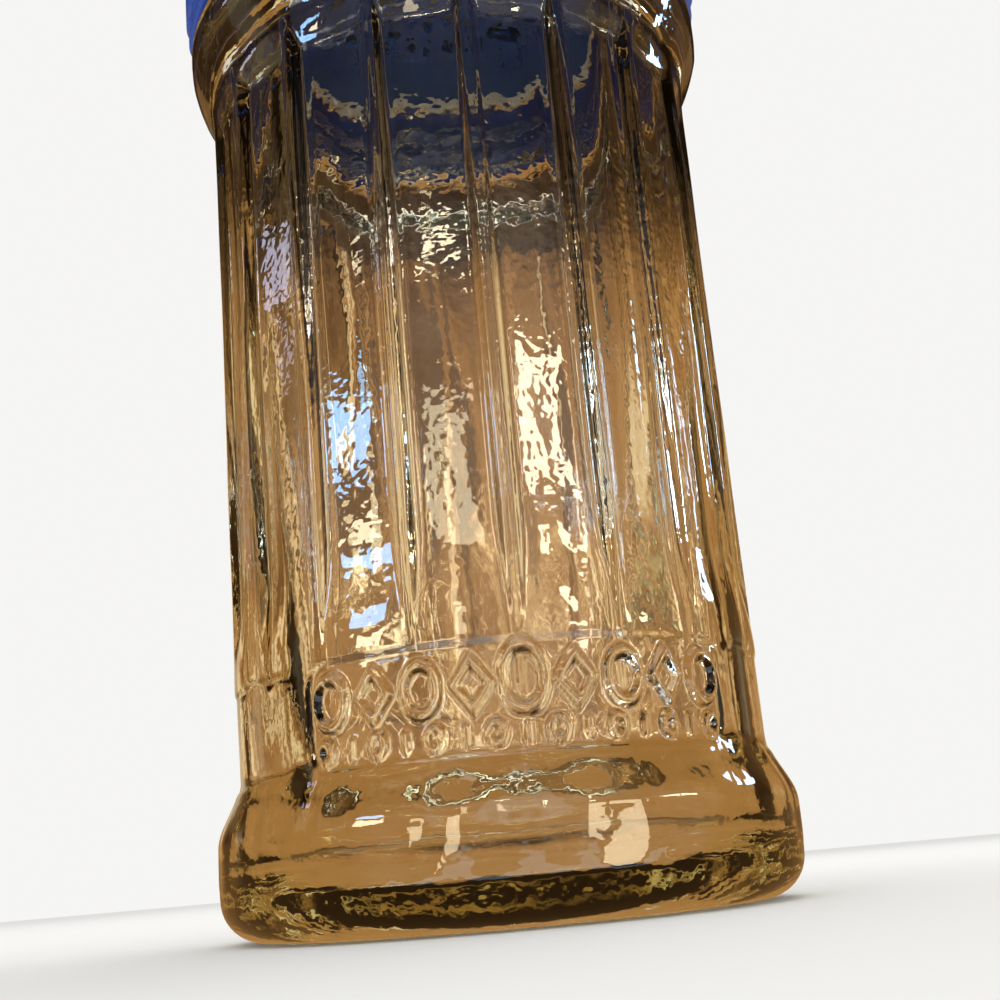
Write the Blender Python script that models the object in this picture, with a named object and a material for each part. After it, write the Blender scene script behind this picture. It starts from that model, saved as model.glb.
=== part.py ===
"""Moulded glass shaker with a screw cap, a sifter disc and a hinged pour lid.

Metres, +Z up. The origin is the centre of the base, the front faces -Y and the lid's hinge is at +Y.
Each size that can be chosen by itself is named here once, and the rest is worked out from these.
"""
import math

import bmesh
import bpy
from mathutils import Matrix

# Gaps between pieces
FIT_GAP = 0.0003
SKIRT_GAP = 0.0006
LID_SEAL_SIDE_GAP = 0.0006
OVERRUN = 0.0010
BURY = 0.0005

# Glass jar, radii and wall
BODY_RADIUS = 0.0350
BASE_RING_STEP = 0.0028
SHOULDER_RING_STEP = 0.0028
HEEL_RADIUS = 0.0055
FOOT_WIDTH = 0.0055
RECESS_SLOPE = 0.0020
RECESS_DEPTH = 0.0012
BODY_WALL = 0.0036
FLOOR_THICKNESS = 0.0055
INNER_CORNER = 0.0060
NECK_RADIUS = 0.0344
NECK_WALL = 0.0034
LIP_ROUND = 0.0010

# Glass jar, heights from the base up
BASE_RING_HEIGHT = 0.0118
BASE_FLARE_HEIGHT = 0.0083
BODY_HEIGHT = 0.0954
SHOULDER_FLARE_HEIGHT = 0.0080
SHOULDER_RING_HEIGHT = 0.0025
SHOULDER_HEIGHT = 0.0008
NECK_HEIGHT = 0.0130

# Ribs round the jar's body
RIB_COUNT = 18
PANEL_DEPTH = 0.0008
PLAIN_BAND_HEIGHT = 0.0115
RIB_FOOT_FADE = 0.0080
RIB_HEAD_FADE = 0.0030
RIB_COLUMN_SHARES = (-0.16, -0.05, 0.05, 0.16, 0.50)
RIB_DEPTH_SHARES = (1.0, 0.0, 0.0, 1.0, 1.0)

# Screw thread
THREAD_PITCH = 0.004233
THREAD_HEIGHT = 0.0014
THREAD_ROOT_WIDTH = 0.0020
THREAD_CREST_WIDTH = 0.0010
THREAD_TURNS = 1.75
THREAD_RUNOUT_SHARE = 0.10
THREAD_STEPS = 63
THREAD_TO_SHOULDER = 0.0016
THREAD_SIDE_GAP = 0.00035
THREAD_CREST_GAP = 0.0005

# Seal ring and sifter disc
SEAL_THICKNESS = 0.0010
SIFTER_THICKNESS = 0.0012
SIFTER_HOLE_RADIUS = 0.0016
SIFTER_MARGIN = 0.0033
SIFTER_RING_COUNTS = (1, 6, 12, 18)
SIFTER_RING_SHARES = (0.0, 0.3333, 0.6667, 1.0)

# Screw cap
CAP_WALL = 0.0018
DECK_THICKNESS = 0.0022
CAP_EDGE_ROUND = 0.0012
HEM_HEIGHT = 0.0030
KNURL_COUNT = 48
KNURL_DEPTH = 0.0006
COLLAR_INSET = 0.0055
COLLAR_WALL = 0.0020
COLLAR_HEIGHT = 0.0017

# Hinge
KNUCKLE_RADIUS = 0.0026
KNUCKLE_WIDTH = 0.0094
EAR_WIDTH = 0.0040
HINGE_SETBACK = 0.0034
PIN_RADIUS = 0.0012
PIN_HEAD_RADIUS = 0.0020
PIN_HEAD_LENGTH = 0.0010

# Flip lid and its sealing disc
LID_WALL = 0.0018
LID_TOP_THICKNESS = 0.0020
LID_CROWN = 0.0015
LID_EDGE_ROUND = 0.0012
CROWN_SHARES = (0.75, 0.50, 0.25)
LID_SEAL_THICKNESS = 0.0017
TAB_LENGTH = 0.0065
TAB_WIDTH = 0.0150
TAB_THICKNESS = 0.0020
TAB_CORNER = 0.0040
TAB_DROP = 0.0006

# Faces round each curve
ROUND_STEPS = 48
ARC_STEPS = 3
SHARP_ANGLE = math.radians(35.0)

# Heights and radii that follow from the sizes above
base_ring_radius = BODY_RADIUS + BASE_RING_STEP
shoulder_ring_radius = BODY_RADIUS + SHOULDER_RING_STEP
flare_top = BASE_RING_HEIGHT + BASE_FLARE_HEIGHT
rib_bottom = flare_top + PLAIN_BAND_HEIGHT
body_top = flare_top + BODY_HEIGHT
shoulder_ring_bottom = body_top + SHOULDER_FLARE_HEIGHT
shoulder_ring_top = shoulder_ring_bottom + SHOULDER_RING_HEIGHT
shoulder_top = shoulder_ring_top + SHOULDER_HEIGHT
lip_top = shoulder_top + NECK_HEIGHT
inner_radius = BODY_RADIUS - BODY_WALL
bore_radius = NECK_RADIUS - NECK_WALL
seal_bottom = lip_top + FIT_GAP
sifter_bottom = seal_bottom + SEAL_THICKNESS + FIT_GAP
sifter_top = sifter_bottom + SIFTER_THICKNESS
deck_bottom = sifter_top + FIT_GAP
deck_top = deck_bottom + DECK_THICKNESS
cap_bottom = shoulder_top + SKIRT_GAP
cap_inner_radius = NECK_RADIUS + THREAD_HEIGHT + THREAD_SIDE_GAP
cap_thread_height = THREAD_HEIGHT + THREAD_SIDE_GAP - THREAD_CREST_GAP
deck_radius = cap_inner_radius + CAP_WALL
hinge_y = deck_radius - HINGE_SETBACK
hinge_z = deck_top + FIT_GAP + KNUCKLE_RADIUS
pin_hole_radius = PIN_RADIUS + FIT_GAP
lid_radius = hinge_y - KNUCKLE_RADIUS
lid_inner_radius = lid_radius - LID_WALL
collar_radius = lid_inner_radius - COLLAR_INSET
pour_radius = collar_radius - COLLAR_WALL
sifter_pattern_radius = pour_radius - SIFTER_MARGIN - SIFTER_HOLE_RADIUS
lid_bottom = deck_top + FIT_GAP
lid_seal_bottom = deck_top + COLLAR_HEIGHT + FIT_GAP
lid_ceiling = lid_seal_bottom + LID_SEAL_THICKNESS + FIT_GAP
lid_edge_top = lid_ceiling + LID_TOP_THICKNESS
ear_inner = KNUCKLE_WIDTH / 2 + FIT_GAP


def even_angles(count):
    """Angles of count evenly spaced columns, from the front (-Y) towards +X."""
    return [2 * math.pi * k / count for k in range(count)]


def arc(centre, radius_pair, start, end, steps):
    """Profile points of an elliptic arc in (radius, height), end point included, start point left out."""
    points = []
    for k in range(1, steps + 1):
        angle = start + (end - start) * k / steps
        radius = centre[0] + radius_pair[0] * math.cos(angle)
        points.append((radius, centre[1] + radius_pair[1] * math.sin(angle)))
    return points


def ease(low, high, steps):
    """Profile points of an S-shaped run between two (radius, height) points, low point left out."""
    points = []
    for k in range(1, steps + 1):
        share = k / steps
        blend = share * share * (3 - 2 * share)
        points.append((low[0] + (high[0] - low[0]) * blend, low[1] + (high[1] - low[1]) * share))
    return points


def rings_to_mesh(bm, stations, angles, looped):
    """Skin a closed body through stations (radius, height, cuts), outer side first, from the bottom up."""
    rings = []
    for radius, height, cuts in stations:
        if radius == 0:
            rings.append([bm.verts.new((0, 0, height))])
            continue
        ring = []
        for k, angle in enumerate(angles):
            reach = radius - cuts[k] if cuts else radius
            ring.append(bm.verts.new((reach * math.sin(angle), -reach * math.cos(angle), height)))
        rings.append(ring)
    pairs = list(zip(rings, rings[1:]))
    if looped:
        pairs.append((rings[-1], rings[0]))
    for lower, upper in pairs:
        for k in range(len(angles)):
            n = (k + 1) % len(angles)
            if len(lower) == 1:
                bm.faces.new((lower[0], upper[n], upper[k]))
            elif len(upper) == 1:
                bm.faces.new((lower[k], lower[n], upper[0]))
            else:
                bm.faces.new((lower[k], lower[n], upper[n], upper[k]))


def prism(bm, outline, start, end, along):
    """Closed prism of an outline: in (y, z) swept along X, or in (x, y) swept along Z."""
    caps = []
    for reach in (start, end):
        if along == "X":
            caps.append([bm.verts.new((reach, a, b)) for a, b in outline])
        else:
            caps.append([bm.verts.new((a, b, reach)) for a, b in outline])
    count = len(outline)
    faces = [bm.faces.new(caps[0]), bm.faces.new(caps[1])]
    for k in range(count):
        n = (k + 1) % count
        faces.append(bm.faces.new((caps[0][k], caps[0][n], caps[1][n], caps[1][k])))
    bmesh.ops.recalc_face_normals(bm, faces=faces)


def thread_shell(bm, wall_radius, outward, height_of_thread, first_height):
    """Helical ridge on a cylinder, buried in its wall and running out to nothing at both ends."""
    buried = wall_radius - outward * BURY
    sections = []
    for k in range(THREAD_STEPS + 1):
        share = k / THREAD_STEPS
        grow = min(1.0, share / THREAD_RUNOUT_SHARE, (1 - share) / THREAD_RUNOUT_SHARE)
        crest = wall_radius + outward * (height_of_thread * grow - BURY / 2 * (1 - grow))
        angle = 2 * math.pi * THREAD_TURNS * share
        middle = first_height + THREAD_PITCH * THREAD_TURNS * share
        corners = (
            (buried, middle - THREAD_ROOT_WIDTH / 2),
            (crest, middle - THREAD_CREST_WIDTH / 2),
            (crest, middle + THREAD_CREST_WIDTH / 2),
            (buried, middle + THREAD_ROOT_WIDTH / 2),
        )
        sections.append([bm.verts.new((r * math.sin(angle), -r * math.cos(angle), z)) for r, z in corners])
    faces = [bm.faces.new(sections[0]), bm.faces.new(sections[-1])]
    for first, second in zip(sections, sections[1:]):
        for k in range(4):
            n = (k + 1) % 4
            faces.append(bm.faces.new((first[k], first[n], second[n], second[k])))
    bmesh.ops.recalc_face_normals(bm, faces=faces)


def make_material(name, colour, roughness, metallic, transmission):
    """Principled material with one plain colour."""
    material = bpy.data.materials.new(name)
    material.use_nodes = True
    shader = material.node_tree.nodes["Principled BSDF"]
    shader.inputs["Base Color"].default_value = colour
    shader.inputs["Roughness"].default_value = roughness
    shader.inputs["Metallic"].default_value = metallic
    shader.inputs["Transmission Weight"].default_value = transmission
    material.diffuse_color = colour
    return material


def add_axis(name, parent, place):
    """Empty on a joint's axis; place is in world metres."""
    axis = bpy.data.objects.new(name, None)
    bpy.context.collection.objects.link(axis)
    origin = world_of(parent)
    axis.parent = parent
    axis.location = [place[k] - origin[k] for k in range(3)]
    return axis


def world_of(obj):
    """World place of an object whose parents aren't turned."""
    place = [0, 0, 0]
    while obj:
        place = [place[k] + obj.location[k] for k in range(3)]
        obj = obj.parent
    return place


def add_piece(name, bm, parent, origin, material):
    """Object from a mesh built in world metres, with its own origin at the given world point."""
    bmesh.ops.translate(bm, verts=bm.verts, vec=[-origin[k] for k in range(3)])
    mesh = bpy.data.meshes.new(name)
    bm.to_mesh(mesh)
    bm.free()
    piece = bpy.data.objects.new(name, mesh)
    bpy.context.collection.objects.link(piece)
    base = world_of(parent)
    piece.parent = parent
    piece.location = [origin[k] - base[k] for k in range(3)]
    if material:
        mesh.materials.append(material)
        mesh.shade_smooth()
        mesh.set_sharp_from_angle(angle=SHARP_ANGLE)
    return piece


def add_form(name, bm, parent, origin):
    """Hidden form that another piece is joined to or cut by."""
    form = add_piece(name, bm, parent, origin, None)
    form.hide_render = True
    form.display_type = "WIRE"
    return form


def combine(piece, form, operation):
    """Boolean of a hidden form on a piece."""
    modifier = piece.modifiers.new(form.name, "BOOLEAN")
    modifier.operation = operation
    modifier.solver = "EXACT"
    modifier.object = form


for old in list(bpy.data.objects):
    bpy.data.objects.remove(old, do_unlink=True)

glass = make_material("clear_glass", (0.80, 0.72, 0.58, 1.0), 0.04, 0.0, 1.0)
cap_plastic = make_material("blue_cap_plastic", (0.02, 0.09, 0.42, 1.0), 0.35, 0.0, 0.0)
lid_plastic = make_material("blue_lid_plastic", (0.02, 0.09, 0.42, 1.0), 0.30, 0.0, 0.0)
seal_plastic = make_material("white_seal", (0.85, 0.84, 0.80, 1.0), 0.60, 0.0, 0.0)
lid_seal_plastic = make_material("white_lid_seal", (0.82, 0.81, 0.77, 1.0), 0.65, 0.0, 0.0)
sifter_plastic = make_material("blue_sifter", (0.02, 0.09, 0.42, 1.0), 0.40, 0.0, 0.0)
steel = make_material("pin_steel", (0.62, 0.62, 0.64, 1.0), 0.25, 1.0, 0.0)

cap_axis = add_axis("cap_turn_axis", None, (0, 0, cap_bottom))
lid_axis = add_axis("lid_hinge_axis", cap_axis, (0, hinge_y, hinge_z))

# Jar: one turned body whose columns between the ribs are pressed in
jar_angles = []
jar_shares = []
for rib in range(RIB_COUNT):
    for column, share in zip(RIB_COLUMN_SHARES, RIB_DEPTH_SHARES):
        jar_angles.append(2 * math.pi * (rib + column) / RIB_COUNT)
        jar_shares.append(share)
panel_cuts = [PANEL_DEPTH * share for share in jar_shares]

foot_outer = base_ring_radius - HEEL_RADIUS
foot_inner = foot_outer - FOOT_WIDTH
jar_profile = [(0, RECESS_DEPTH), (foot_inner - RECESS_SLOPE, RECESS_DEPTH)]
jar_profile += [(foot_inner, 0), (foot_outer, 0)]
jar_profile += arc((foot_outer, HEEL_RADIUS), (HEEL_RADIUS, HEEL_RADIUS), -math.pi / 2, 0, ARC_STEPS)
jar_profile += [(base_ring_radius, BASE_RING_HEIGHT)]
jar_profile += ease((base_ring_radius, BASE_RING_HEIGHT), (BODY_RADIUS, flare_top), ARC_STEPS)
jar_stations = [(radius, height, None) for radius, height in jar_profile]
jar_stations += [
    (BODY_RADIUS, rib_bottom, None),
    (BODY_RADIUS, rib_bottom + RIB_FOOT_FADE, panel_cuts),
    (BODY_RADIUS, body_top - RIB_HEAD_FADE, panel_cuts),
    (BODY_RADIUS, body_top, None),
]
upper_profile = ease((BODY_RADIUS, body_top), (shoulder_ring_radius, shoulder_ring_bottom), ARC_STEPS)
upper_profile += [(shoulder_ring_radius, shoulder_ring_top)]
shoulder_reach = (shoulder_ring_radius - NECK_RADIUS, SHOULDER_HEIGHT)
upper_profile += arc((NECK_RADIUS, shoulder_ring_top), shoulder_reach, 0, math.pi / 2, ARC_STEPS + 1)
upper_profile += [(NECK_RADIUS, lip_top - LIP_ROUND)]
lip_centre = (NECK_RADIUS - LIP_ROUND, lip_top - LIP_ROUND)
upper_profile += arc(lip_centre, (LIP_ROUND, LIP_ROUND), 0, math.pi / 2, 2)
upper_profile += [(bore_radius + LIP_ROUND, lip_top), (bore_radius, lip_top - LIP_ROUND)]
upper_profile += [(bore_radius, shoulder_top)]
inner_reach = (inner_radius - bore_radius, SHOULDER_HEIGHT)
upper_profile += arc((bore_radius, shoulder_ring_top), inner_reach, math.pi / 2, 0, ARC_STEPS)
upper_profile += [(inner_radius, FLOOR_THICKNESS + INNER_CORNER)]
corner_centre = (inner_radius - INNER_CORNER, FLOOR_THICKNESS + INNER_CORNER)
upper_profile += arc(corner_centre, (INNER_CORNER, INNER_CORNER), 0, -math.pi / 2, ARC_STEPS)
upper_profile += [(0, FLOOR_THICKNESS)]
jar_stations += [(radius, height, None) for radius, height in upper_profile]

bm = bmesh.new()
rings_to_mesh(bm, jar_stations, jar_angles, False)
glass_jar = add_piece("glass_jar", bm, None, (0, 0, 0), glass)
bm = bmesh.new()
jar_thread_height = shoulder_top + THREAD_TO_SHOULDER
thread_shell(bm, NECK_RADIUS, 1, THREAD_HEIGHT, jar_thread_height)
combine(glass_jar, add_form("jar_thread_form", bm, None, (0, 0, 0)), "UNION")

# Seal ring on the lip
bm = bmesh.new()
seal_stations = [
    (bore_radius, seal_bottom, None),
    (NECK_RADIUS, seal_bottom, None),
    (NECK_RADIUS, seal_bottom + SEAL_THICKNESS, None),
    (bore_radius, seal_bottom + SEAL_THICKNESS, None),
]
rings_to_mesh(bm, seal_stations, even_angles(ROUND_STEPS), True)
add_piece("seal_ring", bm, None, (0, 0, seal_bottom), seal_plastic)

# Sifter disc over the seal, with its holes on rings
bm = bmesh.new()
sifter_stations = [
    (0, sifter_bottom, None),
    (NECK_RADIUS, sifter_bottom, None),
    (NECK_RADIUS, sifter_top, None),
    (0, sifter_top, None),
]
rings_to_mesh(bm, sifter_stations, even_angles(ROUND_STEPS), False)
sifter_disc = add_piece("sifter_disc", bm, None, (0, 0, sifter_bottom), sifter_plastic)
bm = bmesh.new()
for count, share in zip(SIFTER_RING_COUNTS, SIFTER_RING_SHARES):
    for angle in even_angles(count):
        reach = sifter_pattern_radius * share
        outline = []
        for turn in even_angles(12):
            x = reach * math.sin(angle) + SIFTER_HOLE_RADIUS * math.sin(turn)
            y = -reach * math.cos(angle) - SIFTER_HOLE_RADIUS * math.cos(turn)
            outline.append((x, y))
        prism(bm, outline, sifter_bottom - OVERRUN, sifter_top + OVERRUN, "Z")
combine(sifter_disc, add_form("sifter_hole_form", bm, None, (0, 0, sifter_bottom)), "DIFFERENCE")

# Screw cap: plain hem, knurled skirt, flat deck and a collar round the pour opening
knurl_angles = even_angles(2 * KNURL_COUNT)
knurl_cuts = [KNURL_DEPTH * (k % 2) for k in range(2 * KNURL_COUNT)]
knurl_radius = deck_radius + KNURL_DEPTH
round_centre = (deck_radius - CAP_EDGE_ROUND, deck_top - CAP_EDGE_ROUND)
cap_stations = [
    (cap_inner_radius, cap_bottom, None),
    (deck_radius, cap_bottom, None),
    (deck_radius, cap_bottom + HEM_HEIGHT, None),
    (knurl_radius, cap_bottom + HEM_HEIGHT + KNURL_DEPTH, knurl_cuts),
    (knurl_radius, deck_top - 2 * CAP_EDGE_ROUND, knurl_cuts),
    (deck_radius, deck_top - CAP_EDGE_ROUND, None),
]
for radius, height in arc(round_centre, (CAP_EDGE_ROUND, CAP_EDGE_ROUND), 0, math.pi / 2, 2):
    cap_stations.append((radius, height, None))
cap_stations += [
    (collar_radius, deck_top, None),
    (collar_radius, deck_top + COLLAR_HEIGHT, None),
    (pour_radius, deck_top + COLLAR_HEIGHT, None),
    (pour_radius, deck_bottom, None),
    (cap_inner_radius, deck_bottom, None),
]
bm = bmesh.new()
rings_to_mesh(bm, cap_stations, knurl_angles, True)
screw_cap = add_piece("screw_cap", bm, cap_axis, (0, 0, cap_bottom), cap_plastic)

bm = bmesh.new()
thread_shell(bm, cap_inner_radius, -1, cap_thread_height, jar_thread_height + THREAD_PITCH / 2)
for side in (-1, 1):
    ear = [(hinge_y + KNUCKLE_RADIUS, deck_top - BURY)]
    for k in range(9):
        turn = math.pi * k / 8
        ear.append((hinge_y + KNUCKLE_RADIUS * math.cos(turn), hinge_z + KNUCKLE_RADIUS * math.sin(turn)))
    ear.append((hinge_y - KNUCKLE_RADIUS, deck_top - BURY))
    prism(bm, ear, side * ear_inner, side * (ear_inner + EAR_WIDTH), "X")
combine(screw_cap, add_form("cap_thread_and_ear_form", bm, cap_axis, (0, 0, cap_bottom)), "UNION")

bm = bmesh.new()
pin_hole = []
for turn in even_angles(16):
    pin_hole.append((hinge_y + pin_hole_radius * math.sin(turn), hinge_z + pin_hole_radius * math.cos(turn)))
hole_reach = ear_inner + EAR_WIDTH + OVERRUN
prism(bm, pin_hole, -hole_reach, hole_reach, "X")
pin_hole_form = add_form("pin_hole_form", bm, lid_axis, (0, hinge_y, hinge_z))
combine(screw_cap, pin_hole_form, "DIFFERENCE")

# Hinge pin through both ears and the lid's knuckle, headed at each end
head_inner = ear_inner + EAR_WIDTH + FIT_GAP
head_outer = head_inner + PIN_HEAD_LENGTH
pin_stations = [
    (0, -head_outer, None),
    (PIN_HEAD_RADIUS, -head_outer, None),
    (PIN_HEAD_RADIUS, -head_inner, None),
    (PIN_RADIUS, -head_inner, None),
    (PIN_RADIUS, head_inner, None),
    (PIN_HEAD_RADIUS, head_inner, None),
    (PIN_HEAD_RADIUS, head_outer, None),
    (0, head_outer, None),
]
bm = bmesh.new()
rings_to_mesh(bm, pin_stations, even_angles(16), False)
bmesh.ops.rotate(bm, verts=bm.verts, cent=(0, 0, 0), matrix=Matrix.Rotation(math.pi / 2, 3, "Y"))
bmesh.ops.translate(bm, verts=bm.verts, vec=(0, hinge_y, hinge_z))
add_piece("hinge_pin", bm, lid_axis, (0, hinge_y, hinge_z), steel)

# Flip lid: shallow turned shell with a knuckle behind and a thumb tab in front
crown_radius = lid_radius - LID_EDGE_ROUND
lid_round_centre = (crown_radius, lid_edge_top - LID_EDGE_ROUND)
lid_profile = [(0, lid_ceiling), (lid_inner_radius, lid_ceiling), (lid_inner_radius, lid_bottom)]
lid_profile += [(lid_radius, lid_bottom), (lid_radius, lid_edge_top - LID_EDGE_ROUND)]
lid_profile += arc(lid_round_centre, (LID_EDGE_ROUND, LID_EDGE_ROUND), 0, math.pi / 2, 2)
for share in CROWN_SHARES:
    lid_profile.append((crown_radius * share, lid_edge_top + LID_CROWN * (1 - share * share)))
lid_profile += [(0, lid_edge_top + LID_CROWN)]
lid_stations = [(radius, height, None) for radius, height in lid_profile]
bm = bmesh.new()
rings_to_mesh(bm, lid_stations, even_angles(ROUND_STEPS), False)
flip_lid = add_piece("flip_lid", bm, lid_axis, (0, hinge_y, hinge_z), lid_plastic)

bm = bmesh.new()
wall_middle = (lid_radius + lid_inner_radius) / 2
knuckle = [(wall_middle, hinge_z - KNUCKLE_RADIUS)]
for k in range(9):
    turn = -math.pi / 2 + math.pi * k / 8
    knuckle.append((hinge_y + KNUCKLE_RADIUS * math.cos(turn), hinge_z + KNUCKLE_RADIUS * math.sin(turn)))
knuckle.append((wall_middle, hinge_z + KNUCKLE_RADIUS))
prism(bm, knuckle, -KNUCKLE_WIDTH / 2, KNUCKLE_WIDTH / 2, "X")
tab_end = -(lid_radius + TAB_LENGTH)
tab_root = -math.sqrt(wall_middle ** 2 - (TAB_WIDTH / 2) ** 2)
tab = [(TAB_WIDTH / 2, tab_root), (-TAB_WIDTH / 2, tab_root)]
for side, start in ((-1, math.pi), (1, 1.5 * math.pi)):
    for k in range(5):
        turn = start + math.pi / 2 * k / 4
        x = side * (TAB_WIDTH / 2 - TAB_CORNER) + TAB_CORNER * math.cos(turn)
        tab.append((x, tab_end + TAB_CORNER + TAB_CORNER * math.sin(turn)))
tab_top = lid_edge_top - LID_EDGE_ROUND - TAB_DROP
prism(bm, tab, tab_top - TAB_THICKNESS, tab_top, "Z")
combine(flip_lid, add_form("knuckle_and_tab_form", bm, lid_axis, (0, hinge_y, hinge_z)), "UNION")
combine(flip_lid, pin_hole_form, "DIFFERENCE")

# Sealing disc under the lid that closes the collar
lid_seal_radius = lid_inner_radius - LID_SEAL_SIDE_GAP
lid_seal_stations = [
    (0, lid_seal_bottom, None),
    (lid_seal_radius, lid_seal_bottom, None),
    (lid_seal_radius, lid_seal_bottom + LID_SEAL_THICKNESS, None),
    (0, lid_seal_bottom + LID_SEAL_THICKNESS, None),
]
bm = bmesh.new()
rings_to_mesh(bm, lid_seal_stations, even_angles(ROUND_STEPS), False)
add_piece("lid_seal", bm, lid_axis, (0, hinge_y, hinge_z), lid_seal_plastic)
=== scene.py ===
"""Looks of a moulded glass shaker with a blue screw cap and a hinged pour lid.

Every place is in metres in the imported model's frame: the jar stands on z = 0, and its front faces -Y.
"""

import bmesh
import bpy
import numpy as np
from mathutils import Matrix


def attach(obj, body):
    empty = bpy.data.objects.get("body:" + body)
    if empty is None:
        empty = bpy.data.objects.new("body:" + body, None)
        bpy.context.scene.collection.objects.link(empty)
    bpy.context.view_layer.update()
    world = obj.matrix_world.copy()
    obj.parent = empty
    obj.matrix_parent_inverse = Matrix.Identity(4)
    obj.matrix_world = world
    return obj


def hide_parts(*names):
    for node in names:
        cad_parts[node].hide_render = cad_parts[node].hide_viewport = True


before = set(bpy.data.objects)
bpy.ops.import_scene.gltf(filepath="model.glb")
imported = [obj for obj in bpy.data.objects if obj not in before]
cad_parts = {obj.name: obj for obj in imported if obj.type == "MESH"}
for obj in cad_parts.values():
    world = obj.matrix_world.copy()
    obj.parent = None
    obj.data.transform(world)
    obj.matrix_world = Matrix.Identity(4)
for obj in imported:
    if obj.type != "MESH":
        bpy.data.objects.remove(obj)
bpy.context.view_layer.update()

# ---------------------------------------------------------------------------------------------
# Glass jar. The real one is soda glass, pressed and blown in a two-part iron mould, with a heavy
# base, narrow ribs between shallow panels, a raised ornament on the front band and a screw neck.


def line_run(start, end, count):
    """Straight run from start to end in (radius, height), the end left out."""
    share = np.arange(count)[:, None] / count
    return np.array(start) + share * (np.array(end) - np.array(start))


def arc_run(centre, reach, first, last, count):
    """Run along an ellipse: centre plus reach times (cos, sin) of an angle in degrees, the end left out."""
    turn = np.radians(first + (last - first) * np.arange(count) / count)
    return np.stack([centre[0] + reach[0] * np.cos(turn), centre[1] + reach[1] * np.sin(turn)], axis=1)


def ease_run(start, end, count):
    """Run whose height is even and whose radius follows the S-curve 3t^2 - 2t^3, the end left out."""
    share = np.arange(count) / count
    blend = share * share * (3 - 2 * share)
    radius = start[0] + (end[0] - start[0]) * blend
    return np.stack([radius, start[1] + (end[1] - start[1]) * share], axis=1)


def smooth_step(value):
    """0 below 0, 1 above 1, and 3t^2 - 2t^3 between."""
    share = np.clip(value, 0, 1)
    return share * share * (3 - 2 * share)


def band_share(value, low, low_run, high, high_run):
    """0 up to low and from high on, 1 between them, eased over one run above low and one below high."""
    return smooth_step((value - low) / low_run) * smooth_step((high - value) / high_run)


def soft_min(first, second, width):
    """Lesser of two values, rounded off where they differ by less than width."""
    share = np.clip(0.5 + 0.5 * (second - first) / width, 0, 1)
    return second * (1 - share) + first * share - width * share * (1 - share)


def wrapped_mesh(name, grid, ends):
    """Mesh over a grid of points, rows by columns: the columns wrap round, and each end row closes on a
    point in ends, or on the other end row where ends is the word loop."""
    rows, columns = grid.shape[:2]
    here = np.arange(rows * columns).reshape(rows, columns)
    right = np.roll(here, -1, axis=1)
    below, above = here, np.roll(here, -1, axis=0)
    below_right, above_right = right, np.roll(right, -1, axis=0)
    bands = rows if ends == "loop" else rows - 1
    quads = np.stack([below, below_right, above_right, above], axis=-1)[:bands].reshape(-1, 4)
    points = grid.reshape(-1, 3)
    corners = [quads.ravel()]
    sizes = [np.full(len(quads), 4)]
    if ends != "loop":
        points = np.concatenate([points, np.array(ends, float)])
        low = np.full(columns, rows * columns)
        corners.append(np.stack([low, right[0], here[0]], axis=-1).ravel())
        corners.append(np.stack([here[-1], right[-1], low + 1], axis=-1).ravel())
        sizes.append(np.full(2 * columns, 3))
    corners, sizes = np.concatenate(corners), np.concatenate(sizes)
    mesh = bpy.data.meshes.new(name)
    mesh.vertices.add(len(points))
    mesh.vertices.foreach_set("co", points.astype(np.float32).ravel())
    mesh.loops.add(len(corners))
    mesh.loops.foreach_set("vertex_index", corners.astype(np.int32))
    mesh.polygons.add(len(sizes))
    mesh.polygons.foreach_set("loop_start", (np.cumsum(sizes) - sizes).astype(np.int32))
    mesh.update(calc_edges=True)
    mesh.shade_smooth()
    return mesh


def turned_grid(profile, angles):
    """Points of a profile turned about Z: (r sin a, -r cos a, z), with a = 0 at the front. The profile is
    rows of (r, z), or a grid of them with one column for each angle."""
    if profile.ndim == 2:
        profile = profile[:, None, :]
    radius = np.broadcast_to(profile[..., 0], (len(profile), len(angles)))
    height = np.broadcast_to(profile[..., 1], radius.shape)
    return np.stack([radius * np.sin(angles), -radius * np.cos(angles), height], axis=-1)


def add_piece(name, mesh, material, body, replaced):
    """Object at the origin that shows a mesh, rides on a body and stands for a CAD node."""
    mesh.materials.append(material)
    piece = bpy.data.objects.new(name, mesh)
    bpy.context.scene.collection.objects.link(piece)
    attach(piece, body)
    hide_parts(replaced)
    return piece


def add_node(tree, kind, place, settings=None, **values):
    """Shader node with its plain settings and the values of its sockets, by socket name."""
    node = tree.nodes.new(kind)
    node.location = (place[0] * 220, -place[1] * 260)
    for key, value in (settings or {}).items():
        setattr(node, key, value)
    for key, value in values.items():
        node.inputs[key.replace("_", " ")].default_value = value
    return node


def new_material(name, colour):
    """Material with an empty node tree but for its Principled shader; returns both."""
    material = bpy.data.materials.new(name)
    material.use_nodes = True
    material.diffuse_color = (*colour, 1.0)
    shader = material.node_tree.nodes["Principled BSDF"]
    shader.inputs["Base Color"].default_value = (*colour, 1.0)
    return material, shader


body_radius, neck_radius = 0.0350, 0.0344
base_ring_radius = shoulder_ring_radius = 0.0378
inner_radius, bore_radius = 0.0314, 0.0310
floor_height, inner_corner = 0.0055, 0.0060
recess_depth, recess_flat, recess_rim, stand_inner = 0.0012, 0.0235, 0.0262, 0.0268
heel, ring_top, flare_top = 0.0055, 0.0118, 0.0201
ornament_top, rib_foot_top, rib_end_low = 0.0314, 0.0460, 0.1100
body_top, shoulder_ring_low, shoulder_ring_high = 0.1155, 0.1235, 0.1260
shoulder_round, shoulder_top = 0.0008, 0.1268
lip_top, lip_round = 0.1398, 0.0011

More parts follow.
